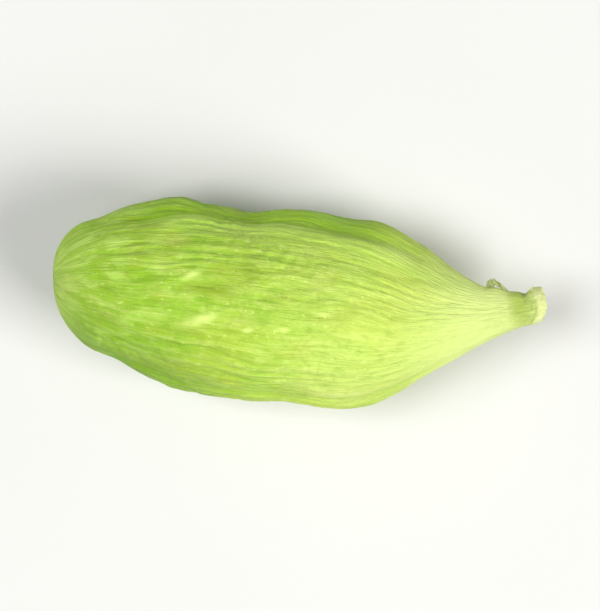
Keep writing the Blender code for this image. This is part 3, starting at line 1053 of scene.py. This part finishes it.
def husk_material():
    """Dry papery husk: streaked along its fibres, paler on the ribs and at the neck, with
    painted light and painted shade laid into its colour.
    """
    material, tree, shader = new_material("cardamom_husk")
    tree.links.new(husk_colour(tree), shader.inputs["Base Color"])
    gloss = grain_noise(tree, (0.6, 5.0), offset=(7.0, 3.0, 1.0))
    tree.links.new(ranged(tree, gloss, 0.3, 0.7, 0.48, 0.7), shader.inputs["Roughness"])
    shader.inputs["Specular IOR Level"].default_value = 0.2
    shader.inputs["Sheen Weight"].default_value = 0.06
    shader.inputs["Sheen Roughness"].default_value = 0.35
    shader.inputs["Sheen Tint"].default_value = (0.95, 1.0, 0.8, 1.0)
    threads = grain_noise(tree, (0.8, 8.0), detail=5.0, roughness=0.7, offset=(3.0, 8.0, 2.0))
    wrinkles = grain_noise(tree, (4.0, 5.0), detail=5.0, roughness=0.65)
    height = maths(tree, "ADD", threads, maths(tree, "MULTIPLY", wrinkles, 0.6))
    bump = add_node(
        tree,
        "ShaderNodeBump",
        {"Strength": 1.0, "Distance": 0.09 * MM, "Height": height},
    )
    tree.links.new(bump.outputs[0], shader.inputs["Normal"])
    return material


def torn_skin_material(name, dark, light):
    """Thin torn skin that has dried."""
    material, tree, shader = new_material(name)
    streaks = object_noise(tree, 9000.0, 3.0)
    colour = mixed(tree, ranged(tree, streaks, 0.35, 0.65), dark, light)
    tree.links.new(colour, shader.inputs["Base Color"])
    shader.inputs["Roughness"].default_value = 0.6
    return material


def floor_material():
    material, tree, shader = new_material("studio_floor")
    shade = mixed(tree, object_noise(tree, 40.0, 2.0), FLOOR_DARK, FLOOR_LIGHT)
    tree.links.new(shade, shader.inputs["Base Color"])
    shader.inputs["Roughness"].default_value = 0.8
    return material


def link(obj):
    bpy.context.scene.collection.objects.link(obj)
    return obj


def on_neck(x, angle, height):
    """A point this far outside the surface of the neck."""
    x, angle = np.asarray(x, float), np.asarray(angle, float)
    return centre(x) + (half_width(x) + height)[..., None] * outward(x, angle)


def tube(path, radii, sides):
    """Points and faces of a closed round strand along a path, with a radius at each of
    the path's points."""
    along = unit(np.gradient(path, axis=0))
    level = unit(np.cross(along, (0.3, 0.2, 1.0)))
    upright = np.cross(along, level)
    turn = np.arange(sides) / sides * 2 * math.pi
    spokes = np.cos(turn)[:, None] * level[:, None] + np.sin(turn)[:, None] * upright[:, None]
    points = path[:, None] + radii[:, None, None] * spokes
    rings = [range(k * sides, (k + 1) * sides) for k in range(len(path))]
    faces = [tuple(rings[0])[::-1], tuple(rings[-1])]
    for first, second in zip(rings, rings[1:]):
        faces += ring_faces(first, second)
    return points.reshape(-1, 3), faces


def mesh_of(name, parts):
    """One mesh of several parts, each given as its points and faces."""
    points, faces = [], []
    for part_points, part_faces in parts:
        faces += [tuple(k + len(points) for k in face) for face in part_faces]
        points += part_points.tolist()
    mesh = bpy.data.meshes.new(name)
    mesh.from_pydata(points, [], faces)
    mesh.shade_smooth()
    return mesh


def shred():
    """A flap of skin that has come loose on the neck: rooted at its left, and arched over a
    gap to where the tip of its free strip lies on the neck again."""
    out = np.linspace(0, 1, SHRED_ROWS)[:, None]
    along = np.linspace(0, 1, SHRED_COLUMNS)[None, :]
    arch = np.sin(math.pi * along**SHRED_SKEW) ** SHRED_ROUNDNESS
    torn = 1 + sum(depth * np.sin(waves * along + start) for depth, waves, start in SHRED_TEARS)
    outer = SHRED_TALL * arch * torn
    inner = -SHRED_ROOT + (outer - SHRED_STRIP + SHRED_ROOT) * rising(along, *SHRED_FREE)
    reach = inner + (outer - inner) * out
    x = SHRED_FROM + (SHRED_TO - SHRED_FROM) * along - SHRED_LEAN * arch * out
    level, upright = ring_axes(x)
    ripple = SHRED_RIPPLE * np.sin(17 * along + 3 * out)
    lift = SHRED_SLOPE * reach + SHRED_CURL * arch * out**2 + ripple
    base = on_neck(x, SHRED_ANGLE + 0 * x, 0 * x)
    points = base + reach[..., None] * level + lift[..., None] * upright
    number = np.arange(points[..., 0].size).reshape(points.shape[:2])
    corners = (number[:-1, :-1], number[:-1, 1:], number[1:, 1:], number[1:, :-1])
    faces = np.stack([corner.ravel() for corner in corners], axis=-1)
    return mesh_of("neck_shred", [(points.reshape(-1, 3), faces.tolist())])


def frayed_fibres():
    """Short fibres that stick out where the lip was torn, and along the neck."""
    draw = random.Random(FRAY_SEED)
    share = np.linspace(0, 1, FRAY_POINTS)
    parts = []
    for _ in range(FRAYS):
        x = LENGTH - draw.uniform(*FRAY_FROM_END)
        angle = draw.uniform(0, 2 * math.pi)
        length = draw.uniform(*FRAY_LENGTH)
        bend = draw.uniform(*FRAY_CURL) * share**2
        rise = draw.uniform(*FRAY_RISE)
        height = FRAY_LIFT + length * rise * share * np.cos(bend)
        run = length * share * (1 - rise) * FRAY_REACH
        path = on_neck(x + run, angle + bend, height)
        parts.append(tube(path, FRAY_RADIUS * (1 - FRAY_TAPER * share), FRAY_SIDES))
    return mesh_of("neck_fibres", parts)


def add_floor():
    mesh = bpy.data.meshes.new("floor")
    corners = ((-1, -1), (1, -1), (1, 1), (-1, 1))
    points = [(x * FLOOR_REACH, y * FLOOR_REACH, -FLOOR_GAP) for x, y in corners]
    mesh.from_pydata(points, [], [(0, 1, 2, 3)])
    mesh.materials.append(floor_material())
    link(bpy.data.objects.new("floor", mesh))


def add_lights():
    """Two soft lights aimed at the pod, and a faint even sky."""
    for name, place, size, power, colour in LIGHTS:
        lamp = bpy.data.lights.new(name, "AREA")
        lamp.shape = "SQUARE"
        lamp.size = size
        lamp.energy = power
        lamp.color = colour
        light = link(bpy.data.objects.new(name, lamp))
        light.location = place
        light.rotation_euler = (-Vector(place)).to_track_quat("-Z", "Y").to_euler()
    world = bpy.data.worlds.new("studio")
    world.use_nodes = True
    sky = world.node_tree.nodes["Background"]
    sky.inputs["Color"].default_value = (1.0, 1.0, 1.0, 1.0)
    sky.inputs["Strength"].default_value = SKY_STRENGTH
    bpy.context.scene.world = world
    bpy.context.scene.view_settings.view_transform = "Standard"


def add_camera():
    """Looks straight down at the pod, far off, with the picture's long side upright."""
    low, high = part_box("pod")
    middle = (low + high) / 2
    picture_width = (high.x - low.x) / POD_FILLS
    picture_height = picture_width * PICTURE_HEIGHT / PICTURE_WIDTH
    lens = bpy.data.cameras.new("camera")
    lens.lens = LENS
    lens.sensor_width = SENSOR
    lens.clip_start = 1 * MM
    camera = link(bpy.data.objects.new("camera", lens))
    camera.location = (middle.x, middle.y, middle.z + picture_height * LENS / SENSOR)
    camera.rotation_euler = (0.0, 0.0, AXIS_SLOPE)
    bpy.context.scene.camera = camera


def main():
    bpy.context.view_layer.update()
    add_camera()
    add_lights()
    add_floor()
    mesh, move = husk()
    mesh.materials.append(husk_material())
    skin = link(bpy.data.objects.new("pod_husk", mesh))
    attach(skin, "root")
    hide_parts("pod")
    torn_pieces = (
        # The loose skin's colours hold painted shade
        (shred(), torn_skin_material("loose_skin", SHADED_SKIN_FLAP, SHADED_SKIN_FLAP_LIGHT)),
        (frayed_fibres(), torn_skin_material("dry_fibre", STRAW, FLECK_PALE)),
    )
    for mesh, material in torn_pieces:
        mesh.transform(Matrix.Translation(move))
        mesh.materials.append(material)
        piece = link(bpy.data.objects.new(mesh.name, mesh))
        if mesh.name == "neck_shred":
            piece.modifiers.new("thickness", "SOLIDIFY").thickness = SHRED_THICKNESS
        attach(piece, "root")


main()
